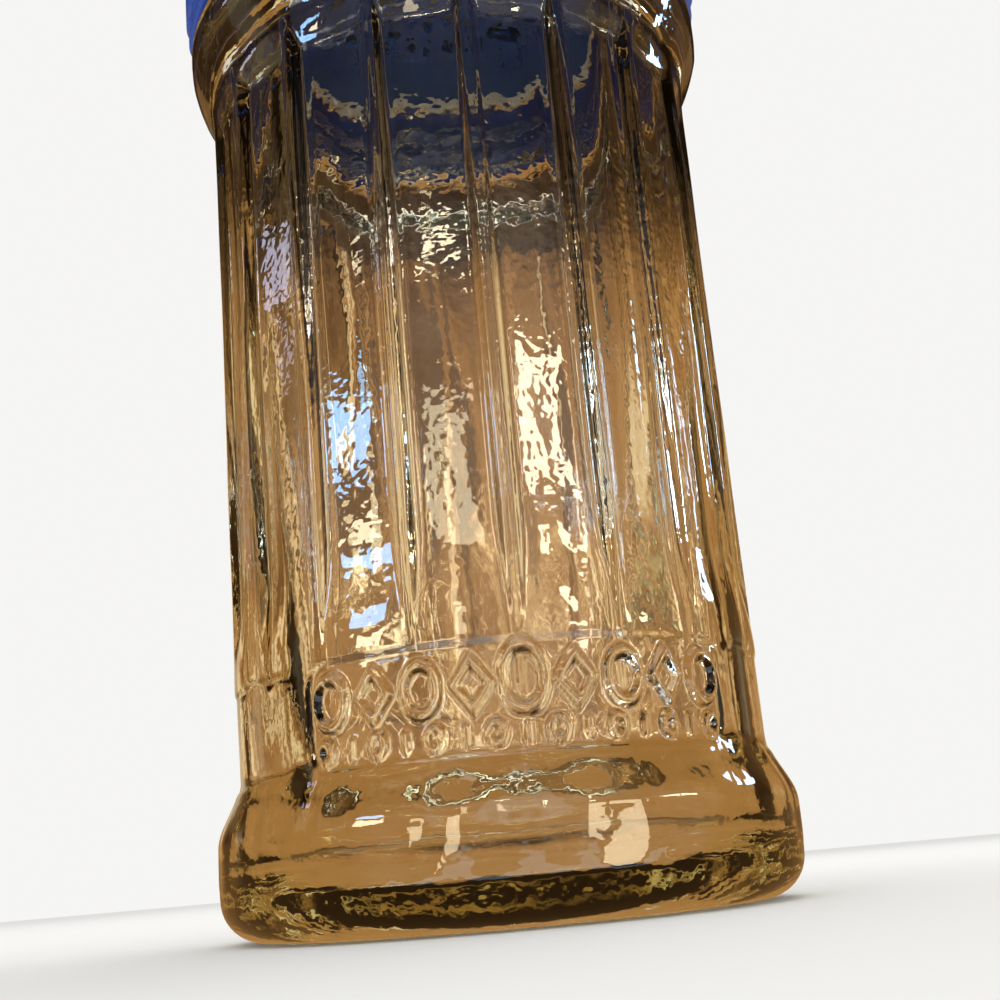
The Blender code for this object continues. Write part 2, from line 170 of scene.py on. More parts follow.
foot_outer = base_ring_radius - heel
outer_profile = np.concatenate([
    line_run((0.0060, recess_depth), (recess_flat, recess_depth), 4),
    ease_run((recess_flat, recess_depth), (recess_rim, 0.00002), 5),
    line_run((stand_inner, 0.0), (foot_outer - 0.0004, 0.0), 4),
    arc_run((foot_outer, heel), (heel, heel), -90, 0, 12),
    line_run((base_ring_radius, heel), (base_ring_radius, ring_top), 7),
    ease_run((base_ring_radius, ring_top), (body_radius, flare_top), 24),
    line_run((body_radius, flare_top), (body_radius, ornament_top), 38),
    line_run((body_radius, ornament_top), (body_radius, rib_foot_top), 16),
    line_run((body_radius, rib_foot_top), (body_radius, rib_end_low), 16),
    line_run((body_radius, rib_end_low), (body_radius, body_top), 6),
    ease_run((body_radius, body_top), (shoulder_ring_radius, shoulder_ring_low), 12),
    line_run((shoulder_ring_radius, shoulder_ring_low), (shoulder_ring_radius, shoulder_ring_high), 6),
    arc_run((neck_radius, shoulder_ring_high),
            (shoulder_ring_radius - neck_radius, shoulder_round), 0, 90, 12),
    line_run((neck_radius, shoulder_top), (neck_radius, lip_top - lip_round), 36),
])
inner_profile = np.concatenate([
    arc_run((neck_radius - lip_round, lip_top - lip_round), (lip_round, lip_round), 0, 90, 5),
    line_run((neck_radius - lip_round, lip_top), (bore_radius + lip_round, lip_top), 2),
    arc_run((bore_radius + lip_round, lip_top - lip_round), (lip_round, lip_round), 90, 180, 4),
    line_run((bore_radius, lip_top - lip_round), (bore_radius, shoulder_top), 12),
    arc_run((bore_radius, shoulder_ring_high), (inner_radius - bore_radius, shoulder_round), 90, 0, 4),
    line_run((inner_radius, shoulder_ring_high), (inner_radius, floor_height + inner_corner), 24),
    arc_run((inner_radius - inner_corner, floor_height + inner_corner),
            (inner_corner, inner_corner), 0, -90, 10),
    line_run((inner_radius - inner_corner, floor_height), (0.0050, floor_height), 6),
])
profile = np.concatenate([outer_profile, inner_profile])
radius, height = profile[:, 0, None], profile[:, 1, None]
outer_rows = np.arange(len(profile))[:, None] < len(outer_profile)

# The columns stand closer over the front, in degrees to each side, where the ornament is
front_half = 44.0
angles = np.radians(np.concatenate([
    np.linspace(-front_half, front_half, 177),
    np.linspace(front_half, 360 - front_half, 188)[1:-1],
]))
turn = np.where(angles > np.pi, angles - 2 * np.pi, angles)[None, :]

# Ribs: each panel between two ribs sinks in, with flanks of one slope, so its foot ends in a point
rib_pitch = 2 * np.pi / 18
rib_half_top, rib_slope, rib_round = 0.00060, 0.95, 0.00022
panel_depth, panel_crown, panel_foot, panel_foot_run = 0.00105, 0.00012, 0.0318, 0.0125
from_rib = turn - np.round(turn / rib_pitch) * rib_pitch
panel_fade = band_share(height, panel_foot, panel_foot_run, body_top, 0.0050)
panel_floor = panel_fade * (panel_depth + panel_crown * np.cos(2 * np.pi * from_rib / rib_pitch + np.pi))
flank = rib_slope * np.maximum(np.abs(from_rib) * body_radius - rib_half_top, 0)
panel_cut = soft_min(panel_floor, flank, rib_round)

# Label panels: four shallow rounded rectangles round the plain band
label_middle, label_half_width, label_half_height = 0.0247, 0.0262, 0.0062
label_corner, label_depth, label_slope = 0.0030, 0.00022, 0.0008
label_turn = turn - np.round(turn / (np.pi / 2)) * np.pi / 2
label_x = np.abs(label_turn) * body_radius - (label_half_width - label_corner)
label_z = np.abs(height - label_middle) - (label_half_height - label_corner)
label_edge = np.hypot(np.maximum(label_x, 0), np.maximum(label_z, 0))
label_edge = label_edge + np.minimum(np.maximum(label_x, label_z), 0)
label_cut = label_depth * smooth_step((label_corner - label_edge) / label_slope + 0.5)

# Ornament: rings and lozenges in one row, small rings and bars in a row below, raised with round edges
along_x, along_z = turn * body_radius, height
raised = np.zeros(np.broadcast_shapes(along_x.shape, along_z.shape))
half_stroke, lift = 0.00062, 0.00090
large_pitch, small_pitch, small_row, small_ring, half_bar = 0.00575, 0.0034, 0.0206, 0.00085, 0.0009


def bead(off):
    """Height share of a round-topped stroke: (1 - (distance / half width) squared) to the power 0.7."""
    return np.clip(1 - (off / half_stroke) ** 2, 0, 1) ** 0.7


for k in range(-4, 5):
    wide, tall, middle = (0.0024, 0.0036, 0.0266) if k == 0 else (0.0020, 0.0028, 0.0261)
    dx, dz = np.abs(along_x - large_pitch * k), np.abs(along_z - middle)
    if k % 2 == 0:
        off = np.abs(np.hypot(dx, dz * wide / tall) - wide)
    else:
        off = np.abs(dx * tall + dz * wide - wide * tall) / np.hypot(wide, tall)
    raised = np.maximum(raised, bead(off))
for k in range(-7, 8):
    dx, dz = np.abs(along_x - small_pitch * k), np.abs(along_z - small_row)
    if k % 2 == 1:
        off = np.abs(np.hypot(dx, dz * 0.75) - small_ring)
    else:
        off = np.hypot(dx, np.maximum(dz - half_bar, 0))
    raised = np.maximum(raised, 0.75 * bead(off * 1.25))

# Screw thread: a ridge that climbs 4.233 mm a turn for one and three quarter turns
thread_pitch, thread_turns = 0.004233, 1.75


def thread_ridge(height, angles, start, tall):
    """Ridge about the height start + pitch * turns climbed, tall in its middle, eased down at its flanks
    and over a tenth of its length at each end."""
    ridge = np.zeros((len(height), len(angles)))
    for lap in (0, 1):
        climb = (np.mod(angles, 2 * np.pi)[None, :] + 2 * np.pi * lap) / (2 * np.pi)
        grow = np.clip(np.minimum(climb / thread_turns, 1 - climb / thread_turns) / 0.10, 0, 1)
        off = np.abs(height - (start + thread_pitch * climb))
        ridge = np.maximum(ridge, tall * smooth_step(grow) * smooth_step((0.00095 - off) / 0.0005))
    return ridge


thread = thread_ridge(height, angles, shoulder_top + 0.0016, 0.00135)

# Hand of the mould: slow waves on both walls, a fine ripple outside, upright streaks inside, and a floor
# that isn't flat
rng = np.random.default_rng(7)


def wave_sum(count, orders, rises, share):
    """Sum of sin(order * turn + or - rise * height + phase) / share over count waves round and up a wall,
    whose orders, rises, signs and phases are drawn at random."""
    total = np.zeros_like(raised)
    for _ in range(count):
        order, rise = rng.integers(*orders), rng.uniform(*rises)
        total += np.sin(order * turn + rise * height * rng.choice([-1, 1]) + rng.uniform(0, 6.3)) / share
    return total


waves = wave_sum(14, (2, 15), (15, 75), 14)
streaks = wave_sum(22, (5, 26), (2, 30), 22)
ripple = wave_sum(30, (12, 38), (20, 300), 4)
on_side = band_share(height, 0.0050, 0.0030, 0.1250, 0.0060)
in_body = band_share(height, 0.0100, 0.0060, 0.1295, 0.0060)
outer_wave = in_body * (0.00025 * waves + 0.00008 * streaks)
inner_wave = in_body * (0.0016 * waves + 0.0004 * streaks) - 0.35 * panel_cut

# The base ring stays free of relief; the ripple is stronger on it and on the flare than on the body
relief = raised * lift - panel_cut - label_cut + thread + outer_wave
ripple_depth = np.where(height > flare_top, 0.000025, 0.00006)
outer_shift = relief * (height > ring_top + 0.0001) + on_side * ripple * ripple_depth
jar_radius = radius + np.where(outer_rows, outer_shift, inner_wave)
floor_dome = 0.0004 * np.cos(np.minimum(radius / 0.025, 1) * np.pi) + 0.00006 * waves
on_floor = (~outer_rows) & (height < floor_height + 0.0015)
jar_height = height + np.where(on_floor, floor_dome * smooth_step((0.0285 - radius) / 0.006), 0)
jar_grid = turned_grid(np.stack(np.broadcast_arrays(jar_radius, jar_height), axis=-1), angles)
jar_mesh = wrapped_mesh("jar", jar_grid, [(0, 0, recess_depth), (0, 0, floor_height + 0.0003)])

# Clear glass with a warm cast, olive where it is thick, and the faint orange-peel skin of the mould
glass, shader = new_material("clear_moulded_glass", (0.95, 0.92, 0.86))
tree = glass.node_tree
shader.inputs["Roughness"].default_value = 0.03
shader.inputs["IOR"].default_value = 1.52
shader.inputs["Transmission Weight"].default_value = 1.0
place = add_node(tree, "ShaderNodeTexCoord", (-6, 0))
upright = add_node(tree, "ShaderNodeMapping", (-5, 0), Scale=(1.0, 1.0, 0.30))
tree.links.new(place.outputs["Object"], upright.inputs["Vector"])
draw = add_node(tree, "ShaderNodeTexNoise", (-4, 0), Scale=120.0, Detail=1.0, Roughness=0.4)
tree.links.new(upright.outputs["Vector"], draw.inputs["Vector"])
peel = add_node(tree, "ShaderNodeTexNoise", (-4, 1), Scale=750.0, Detail=1.0, Roughness=0.4)
tree.links.new(place.outputs["Object"], peel.inputs["Vector"])
draw_bump = add_node(tree, "ShaderNodeBump", (-2, 0), Strength=0.15, Distance=0.0005)
tree.links.new(draw.outputs["Fac"], draw_bump.inputs["Height"])
peel_bump = add_node(tree, "ShaderNodeBump", (-1, 0), Strength=0.20, Distance=0.00015)
tree.links.new(peel.outputs["Fac"], peel_bump.inputs["Height"])
tree.links.new(draw_bump.outputs["Normal"], peel_bump.inputs["Normal"])
tree.links.new(peel_bump.outputs["Normal"], shader.inputs["Normal"])
tint = add_node(tree, "ShaderNodeVolumeAbsorption", (0, 2), Color=(0.71, 0.77, 0.42, 1.0), Density=24.0)
tree.links.new(tint.outputs["Volume"], tree.nodes["Material Output"].inputs["Volume"])
add_piece("moulded_jar", jar_mesh, glass, "jar", "glass_jar")

# ---------------------------------------------------------------------------------------------
# Seal ring. The real one is a soft ring punched from white polyethylene sheet. It lies on the glass
# lip, under the sifter disc.


def colour_ramp(tree, place, stops):
    """Colour ramp node with its stops as (position, (red, green, blue)), in rising order."""
    node = add_node(tree, "ShaderNodeValToRGB", place)
    elements = node.color_ramp.elements
    elements[0].position, elements[-1].position = stops[0][0], stops[-1][0]
    for position, _ in stops[1:-1]:
        elements.new(position)
    for element, (_, colour) in zip(elements, stops):
        element.color = (*colour, 1)
    return node


seal_low, seal_high, seal_inner, seal_outer = 0.1401, 0.1411, 0.0310, 0.0344
seal_middle = ((seal_inner + seal_outer) / 2, (seal_low + seal_high) / 2)
# Its section: 28 points round a rectangle, with one of them on each corner
corner = np.radians(np.arange(28) * 360 / 28 + 45)
square = 1 / np.maximum(np.abs(np.cos(corner)), np.abs(np.sin(corner)))
seal_profile = np.stack([
    seal_middle[0] + np.clip(np.cos(corner) * square * 1.08, -1, 1) * (seal_outer - seal_inner) / 2,
    seal_middle[1] + np.clip(np.sin(corner) * square * 1.08, -1, 1) * (seal_high - seal_low) / 2,
], axis=1)
ring_angles = np.linspace(0, 2 * np.pi, 160, endpoint=False)
seal_mesh = wrapped_mesh("seal", turned_grid(seal_profile, ring_angles), "loop")
seal_white, shader = new_material("soft_white_seal", (0.80, 0.79, 0.75))
tree = seal_white.node_tree
place = add_node(tree, "ShaderNodeTexCoord", (-5, 0))
mottle = add_node(tree, "ShaderNodeTexNoise", (-4, 0), Scale=240.0, Detail=4.0, Roughness=0.6)
tree.links.new(place.outputs["Object"], mottle.inputs["Vector"])
off_white = colour_ramp(tree, (-2, 0), [(0.0, (0.72, 0.70, 0.64)), (1.0, (0.86, 0.85, 0.82))])
tree.links.new(mottle.outputs["Fac"], off_white.inputs["Fac"])
tree.links.new(off_white.outputs["Color"], shader.inputs["Base Color"])
dull = add_node(tree, "ShaderNodeMapRange", (-2, 1), To_Min=0.48, To_Max=0.66)
tree.links.new(mottle.outputs["Fac"], dull.inputs["Value"])
tree.links.new(dull.outputs["Result"], shader.inputs["Roughness"])
add_piece("lip_seal", seal_mesh, seal_white, "sifter", "seal_ring")

# ---------------------------------------------------------------------------------------------
# Sifter disc. The real one is moulded with the cap's blue plastic, has 37 holes on four rings, and
# lies loose on the seal ring, where the cap's deck holds it down.

disc_low, disc_high, disc_radius = 0.1414, 0.1426, 0.0344
hole_radius, hole_reach, hole_edge = 0.0016, 0.01775, 0.00015


def disc_outline(curve, centre, ring_radius, count):
    """Closed spline through count points of a circle in the plan."""
    around = np.linspace(0, 2 * np.pi, count, endpoint=False)
    points = np.zeros((count, 4))
    points[:, 0] = centre[0] + ring_radius * np.sin(around)
    points[:, 1] = centre[1] - ring_radius * np.cos(around)
    spline = curve.splines.new("POLY")
    spline.points.add(count - 1)
    spline.points.foreach_set("co", points.ravel())
    spline.use_cyclic_u = True


outline = bpy.data.curves.new("disc_outline", "CURVE")
outline.dimensions = "2D"
outline.fill_mode = "BOTH"
outline.extrude = (disc_high - disc_low) / 2 - hole_edge
outline.bevel_depth = hole_edge
outline.bevel_resolution = 2
outline.offset = -hole_edge
disc_outline(outline, (0, 0), disc_radius, 192)
for count, share in ((1, 0.0), (6, 1 / 3), (12, 2 / 3), (18, 1.0)):
    for k in range(count):
        a = 2 * np.pi * k / count
        reach = hole_reach * share
        disc_outline(outline, (reach * np.sin(a), -reach * np.cos(a)), hole_radius, 28)
flat_disc = bpy.data.objects.new("disc_outline", outline)
disc_mesh = bpy.data.meshes.new_from_object(flat_disc)
bpy.data.objects.remove(flat_disc)
disc_form = bmesh.new()
disc_form.from_mesh(disc_mesh)
bmesh.ops.remove_doubles(disc_form, verts=disc_form.verts, dist=0.000002)
bmesh.ops.translate(disc_form, verts=disc_form.verts, vec=(0, 0, (disc_low + disc_high) / 2))
bmesh.ops.recalc_face_normals(disc_form, faces=disc_form.faces)
disc_form.to_mesh(disc_mesh)
disc_form.free()
disc_mesh.materials.clear()
disc_mesh.shade_smooth()
disc_mesh.set_sharp_from_angle(angle=np.radians(20))

# Blue polypropylene: near-even colour, a fine grain from the mould and a soft, slightly scuffed gloss
blue_plastic, shader = new_material("blue_polypropylene", (0.020, 0.090, 0.42))
shader.inputs["Subsurface Weight"].default_value = 0.6
shader.inputs["Subsurface Radius"].default_value = (0.30, 0.75, 1.0)
shader.inputs["Subsurface Scale"].default_value = 0.005
tree = blue_plastic.node_tree
place = add_node(tree, "ShaderNodeTexCoord", (-6, 0))
cloud = add_node(tree, "ShaderNodeTexNoise", (-5, 0), Scale=90.0, Detail=4.0, Roughness=0.6)
grain = add_node(tree, "ShaderNodeTexNoise", (-5, 1), Scale=2600.0, Detail=2.0, Roughness=0.5)
tree.links.new(place.outputs["Object"], cloud.inputs["Vector"])
tree.links.new(place.outputs["Object"], grain.inputs["Vector"])
shade = colour_ramp(tree, (-3, 0), [(0.30, (0.017, 0.076, 0.360)), (0.75, (0.023, 0.104, 0.480))])
tree.links.new(cloud.outputs["Fac"], shade.inputs["Fac"])
tree.links.new(shade.outputs["Color"], shader.inputs["Base Color"])
gloss = add_node(tree, "ShaderNodeMapRange", (-3, 1), From_Min=0.3, From_Max=0.7, To_Min=0.26, To_Max=0.40)
tree.links.new(cloud.outputs["Fac"], gloss.inputs["Value"])
tree.links.new(gloss.outputs["Result"], shader.inputs["Roughness"])
grain_bump = add_node(tree, "ShaderNodeBump", (-2, 2), Strength=0.10, Distance=0.0001)
tree.links.new(grain.outputs["Fac"], grain_bump.inputs["Height"])
tree.links.new(grain_bump.outputs["Normal"], shader.inputs["Normal"])
add_piece("perforated_disc", disc_mesh, blue_plastic, "sifter", "sifter_disc")

# ---------------------------------------------------------------------------------------------
# Screw cap. The real one is moulded in blue polypropylene: a plain hem and a knurled skirt with the
# thread inside, a flat deck with a collar round the pour opening, and two hinge ears behind.

cap_low, deck_low, deck_high = 0.1274, 0.1429, 0.1451
cap_inner, deck_outer = 0.03615, 0.03795
collar_outer, collar_inner, collar_top = 0.02465, 0.02265, 0.1468
deck_round, collar_round, fillet, inner_fillet, chamfer = 0.0012, 0.0006, 0.0005, 0.0004, 0.0003
hem_height, knurl_height, knurl_waves = 0.0030, 0.0006, 24
knurl_start, knurl_full, knurl_end = cap_low + 0.0028, cap_low + 0.0042, deck_high - 0.0040
cap_profile = np.concatenate([
    line_run((cap_inner + chamfer, cap_low), (deck_outer - fillet, cap_low), 3),
    arc_run((deck_outer - fillet, cap_low + fillet), (fillet, fillet), -90, 0, 4),
    line_run((deck_outer, cap_low + fillet), (deck_outer, knurl_start), 3),
    line_run((deck_outer, knurl_start), (deck_outer, knurl_full), 9),
    line_run((deck_outer, knurl_full), (deck_outer, knurl_end), 8),
    line_run((deck_outer, knurl_end), (deck_outer, deck_high - deck_round), 9),
    arc_run((deck_outer - deck_round, deck_high - deck_round), (deck_round, deck_round), 0, 90, 8),
    line_run((deck_outer - deck_round, deck_high), (collar_outer + fillet, deck_high), 12),
    arc_run((collar_outer + fillet, deck_high + fillet), (fillet, fillet), -90, -180, 5),
    line_run((collar_outer, deck_high + fillet), (collar_outer, collar_top - collar_round), 3),
    arc_run((collar_outer - collar_round, collar_top - collar_round), (collar_round, collar_round), 0, 90, 5),
    line_run((collar_outer - collar_round, collar_top), (collar_inner + collar_round, collar_top), 2),
    arc_run((collar_inner + collar_round, collar_top - collar_round),
            (collar_round, collar_round), 90, 180, 5),
    line_run((collar_inner, collar_top - collar_round), (collar_inner, deck_low + chamfer), 4),
    line_run((collar_inner + chamfer, deck_low), (cap_inner - inner_fillet, deck_low), 7),
    arc_run((cap_inner - inner_fillet, deck_low - inner_fillet), (inner_fillet, inner_fillet), 90, 0, 3),
    line_run((cap_inner, deck_low - inner_fillet), (cap_inner, cap_low + chamfer), 48),
    line_run((cap_inner, cap_low + chamfer), (cap_inner + chamfer, cap_low), 1),
])
cap_angles = np.linspace(0, 2 * np.pi, 480, endpoint=False)
radius, height = cap_profile[:, 0, None], cap_profile[:, 1, None]
on_skirt = band_share(height, cap_low + hem_height, 0.0008, deck_high - 0.0020, 0.0012) * (radius > 0.0375)
knurl = knurl_height * np.sqrt(np.abs(np.cos(knurl_waves * cap_angles)))[None, :] * on_skirt
cap_thread = thread_ridge(height, cap_angles, cap_low + 0.0031165, 0.00122)
on_wall = (np.abs(radius - cap_inner) < 1e-6) & (height < deck_low - chamfer)
cap_radius = radius + knurl - cap_thread * on_wall
cap_points = np.stack(np.broadcast_arrays(cap_radius, height), axis=-1)
cap_mesh = wrapped_mesh("cap", turned_grid(cap_points, cap_angles), "loop")
add_piece("threaded_cap", cap_mesh, blue_plastic, "cap", "screw_cap")

# Hinge ears: two upright lugs on the deck, round about the hinge pin and bored for it
hinge_y, hinge_z = 0.03455, 0.1480
pin_hole, knuckle_radius, foot_drop, web_reach = 0.0015, 0.0026, 0.0032, 0.0035


def bored_lug(name, low_x, high_x, outline_reach):
    """Lug along X about the hinge axis: a loop of stations (x, share) carried round, where a point lies at
    hole radius + share * (outline - hole radius) from the axis, in the direction (cos a, sin a) of (y, z)."""
    a = np.linspace(0, 2 * np.pi, 72, endpoint=False)
    reach = outline_reach(a)
    low_side = [(0.00015, 0.0), (0.0, 0.12), (0.0, 0.80), (0.00008, 0.92), (0.00030, 1.0)]
    stations = np.array([(low_x + step, share) for step, share in low_side]
                        + [(high_x - step, share) for step, share in reversed(low_side)])
    along, share = stations[:, 0, None], stations[:, 1, None]
    out = pin_hole + share * (reach - pin_hole)
    grid = np.stack([along + 0 * out, hinge_y + out * np.cos(a), hinge_z + out * np.sin(a)], axis=-1)
    return wrapped_mesh(name, grid, "loop")


def ear_outline(a):
    """Half circle above the axis, straight sides and a flat foot in the deck below it."""
    to_side = knuckle_radius / np.maximum(np.abs(np.cos(a)), 1e-6)
    to_foot = foot_drop / np.maximum(-np.sin(a), 1e-6)
    return np.where(np.sin(a) >= 0, knuckle_radius, np.minimum(to_side, to_foot))


for side, word in ((-1, "left"), (1, "right")):
    low_x, high_x = sorted((side * 0.0050, side * 0.0090))
    ear = bored_lug("ear_" + word, low_x, high_x, ear_outline)
    add_piece("hinge_ear_" + word, ear, blue_plastic, "cap", "screw_cap")

# ---------------------------------------------------------------------------------------------
# Hinge pin. The real one is a bright steel wire pushed through both ears and the lid's knuckle, with
# a rounded head pressed on at each end.

pin_radius, head_radius, head_start, head_end = 0.0012, 0.0020, 0.0093, 0.0103
half_pin = np.concatenate([
    line_run((pin_radius, 0.0), (pin_radius, head_start), 6),
    line_run((pin_radius, head_start), (head_radius - 0.0001, head_start), 3),
    line_run((head_radius, head_start + 0.0001), (head_radius, head_end - 0.0006), 2),
    arc_run((head_radius - 0.0008, head_end - 0.0006), (0.0008, 0.0006), 0, 90, 6),
    line_run((head_radius - 0.0008, head_end), (0.0002, head_end), 3),
])
pin_profile = np.concatenate([half_pin[:0:-1] * [1, -1], half_pin])
pin_turn = np.linspace(0, 2 * np.pi, 48, endpoint=False)
out, along = pin_profile[:, 0, None], pin_profile[:, 1, None]
pin_y, pin_z = hinge_y + out * np.cos(pin_turn), hinge_z + out * np.sin(pin_turn)
pin_grid = np.stack([along + 0 * pin_turn, pin_y, pin_z], axis=-1)
pin_mesh = wrapped_mesh("pin", pin_grid, [(-head_end, hinge_y, hinge_z), (head_end, hinge_y, hinge_z)])

# Drawn steel: fine lines along the wire and a slightly uneven shine
drawn_steel, shader = new_material("drawn_steel", (0.60, 0.60, 0.62))
shader.inputs["Metallic"].default_value = 1.0
tree = drawn_steel.node_tree
place = add_node(tree, "ShaderNodeTexCoord", (-6, 0))
lines = add_node(tree, "ShaderNodeMapping", (-5, 0), Scale=(0.06, 1.0, 1.0))
scratch = add_node(tree, "ShaderNodeTexNoise", (-4, 0), Scale=3500.0, Detail=3.0, Roughness=0.6)
shine = add_node(tree, "ShaderNodeMapRange", (-2, 0), To_Min=0.18, To_Max=0.42)
tree.links.new(place.outputs["Object"], lines.inputs["Vector"])
tree.links.new(lines.outputs["Vector"], scratch.inputs["Vector"])
tree.links.new(scratch.outputs["Fac"], shine.inputs["Value"])
tree.links.new(shine.outputs["Result"], shader.inputs["Roughness"])
add_piece("hinge_wire", pin_mesh, drawn_steel, "cap", "hinge_pin")

# ---------------------------------------------------------------------------------------------
# Flip lid. The real one is moulded in the cap's blue plastic: a low crowned shell that closes over the
# collar, with the hinge knuckle behind and a ridged thumb tab in front.

lid_low, lid_ceiling, lid_edge, lid_crown = 0.1454, 0.1491, 0.1511, 0.0015
lid_outer, lid_inner, lid_round = 0.03195, 0.03015, 0.0012
crown_radius = lid_outer - lid_round
rim_shares = np.linspace(1, 0.02, 44)
crown = np.stack([crown_radius * rim_shares, lid_edge + lid_crown * (1 - rim_shares ** 2)], axis=1)
groove_radius, groove_half, groove_depth = 0.0270, 0.0009, 0.00022
crown[:, 1] -= groove_depth * smooth_step(1 - np.abs(crown[:, 0] - groove_radius) / groove_half)
lid_profile = np.concatenate([
    line_run((0.0020, lid_ceiling), (lid_inner - 0.0004, lid_ceiling), 10),
    arc_run((lid_inner - 0.0004, lid_ceiling - 0.0004), (0.0004, 0.0004), 90, 0, 4),
    line_run((lid_inner, lid_ceiling - 0.0004), (lid_inner, lid_low + 0.0003), 4),
    line_run((lid_inner + 0.0003, lid_low), (lid_outer - 0.0003, lid_low), 3),
    arc_run((lid_outer - 0.0003, lid_low + 0.0003), (0.0003, 0.0003), -90, 0, 3),
    line_run((lid_outer, lid_low + 0.0003), (lid_outer, lid_edge - lid_round), 8),
    arc_run((crown_radius, lid_edge - lid_round), (lid_round, lid_round), 0, 90, 8),
    crown,
])
lid_angles = np.linspace(0, 2 * np.pi, 240, endpoint=False)
lid_mesh = wrapped_mesh("lid", turned_grid(lid_profile, lid_angles),
                        [(0, 0, lid_ceiling), (0, 0, lid_edge + lid_crown)])
add_piece("lid_shell", lid_mesh, blue_plastic, "lid", "flip_lid")


def knuckle_outline(a):
    """Half circle behind the axis, and a straight web forward into the lid's wall."""
    to_side = knuckle_radius / np.maximum(np.abs(np.sin(a)), 1e-6)
    to_wall = web_reach / np.maximum(-np.cos(a), 1e-6)
    return np.where(np.cos(a) >= 0, knuckle_radius, np.minimum(to_side, to_wall))


knuckle_mesh = bored_lug("knuckle", -0.0047, 0.0047, knuckle_outline)
add_piece("lid_knuckle", knuckle_mesh, blue_plastic, "lid", "flip_lid")

# Thumb tab: a rounded tongue from the lid's wall, 2 mm thick, with four grip ridges on top. Each point of
# its outline is a reach from the root: rounded in front, straight at the sides, inside the wall behind.
tab_root, tab_end, tab_half, tab_squareness = 0.0333, 0.03845, 0.0075, 3.6
tab_low, tab_high, wall_middle = 0.1473, 0.1493, 0.03105
around = np.linspace(0, 2 * np.pi, 144, endpoint=False)
east, north = np.cos(around), np.sin(around)
front_reach = ((np.abs(east) / tab_half) ** tab_squareness
               + (np.abs(north) / (tab_end - tab_root)) ** tab_squareness) ** (-1 / tab_squareness)
side_reach = tab_half / np.maximum(np.abs(east), 1e-6)
towards = -tab_root * north
inside = towards ** 2 - (tab_root ** 2 - wall_middle ** 2)
wall_reach = np.where((inside > 0) & (towards < 0), -towards - np.sqrt(np.maximum(inside, 0)), 1.0)
tab_reach = np.where(north < 0, front_reach, np.minimum(side_reach, wall_reach))
edge_shares, edge_levels = [0.96, 0.99, 1.0, 1.0, 0.99, 0.96], [0.04, 0.12, 0.25, 0.75, 0.88, 0.96]
shares = np.concatenate([np.linspace(0.1, 0.90, 7), edge_shares, np.linspace(0.90, 0.1, 30)])[:, None]
levels = np.concatenate([np.zeros(7), edge_levels, np.ones(30)])[:, None]
tab_x = shares * tab_reach * east
tab_y = -tab_root + shares * tab_reach * north
tab_z = tab_low + levels * (tab_high - tab_low) + 0 * tab_x
ridge_start, ridge_end, ridge_pitch, ridge_height = 0.0326, 0.0378, 0.00125, 0.00028
ridged = band_share(-tab_y, ridge_start, 0.0006, ridge_end, 0.0004)
ridged = ridged * smooth_step((0.0062 - np.abs(tab_x)) / 0.0012)
ridge_wave = 0.5 - 0.5 * np.cos(2 * np.pi * (tab_y + ridge_start) / ridge_pitch)
tab_z += ridge_height * ridged * ridge_wave * (levels == 1)
tab_mesh = wrapped_mesh("tab", np.stack([tab_x, tab_y, tab_z], axis=-1),
                        [(0, -tab_root, tab_low), (0, -tab_root, tab_high)])
add_piece("thumb_tab", tab_mesh, blue_plastic, "lid", "flip_lid")

# ---------------------------------------------------------------------------------------------
# Lid seal. The real one is a disc of soft white plastic pressed under the lid, with a raised ring
# that beds on the collar.

pad_low, pad_high, pad_radius, pad_round = 0.1471, 0.1488, 0.02955, 0.0004
pad_profile = np.concatenate([
    line_run((0.0010, pad_low), (pad_radius - pad_round, pad_low), 40),
    arc_run((pad_radius - pad_round, pad_low + pad_round), (pad_round, pad_round), -90, 0, 5),
    line_run((pad_radius, pad_low + pad_round), (pad_radius, pad_high - pad_round), 3),
    arc_run((pad_radius - pad_round, pad_high - pad_round), (pad_round, pad_round), 0, 90, 5),
    line_run((pad_radius - pad_round, pad_high), (0.0010, pad_high), 8),
])
pad_reach = pad_profile[:, 0]
ring_dish = smooth_step(1 - np.abs(pad_reach - 0.0182) / 0.0008)
middle_dish = smooth_step((0.0150 - pad_reach) / 0.0010)
pad_profile[:, 1] += 0.00020 * (ring_dish + middle_dish) * (pad_profile[:, 1] < pad_low + 1e-6)
pad_angles = np.linspace(0, 2 * np.pi, 192, endpoint=False)
pad_mesh = wrapped_mesh("pad", turned_grid(pad_profile, pad_angles),
                        [(0, 0, pad_low + 0.0002), (0, 0, pad_high)])
add_piece("lid_sealing_disc", pad_mesh, seal_white, "lid", "lid_seal")

# ---------------------------------------------------------------------------------------------
# Camera and light: a close, low view with a slight tilt, over a plain pale table in soft light. The
# camera's place and turn were fitted to the jar's outline, its base curve and the spacing of its ribs.

focal_pixels, picture_pixels = 1255, 1000
camera_data = bpy.data.cameras.new("camera")
camera_data.sensor_width = 36.0
camera_data.lens = focal_pixels * 36.0 / picture_pixels
camera_data.shift_x, camera_data.shift_y = -0.010, 0.080
camera_data.clip_start = 0.01
camera = bpy.data.objects.new("camera", camera_data)
bpy.context.scene.collection.objects.link(camera)
azimuth, yaw, pitch, roll = np.radians([-4.84, 1.01, 13.16, -5.08])
distance, eye_height = 0.1705, 0.00564
aim = azimuth - yaw
level = np.array([np.cos(aim), np.sin(aim), 0.0])
ahead = np.array([-np.sin(aim), np.cos(aim), 0.0])
up = np.array([0.0, 0.0, 1.0])
look = np.cos(pitch) * ahead + np.sin(pitch) * up
rise = -np.sin(pitch) * ahead + np.cos(pitch) * up
side = np.cos(roll) * level + np.sin(roll) * rise
top = -np.sin(roll) * level + np.cos(roll) * rise
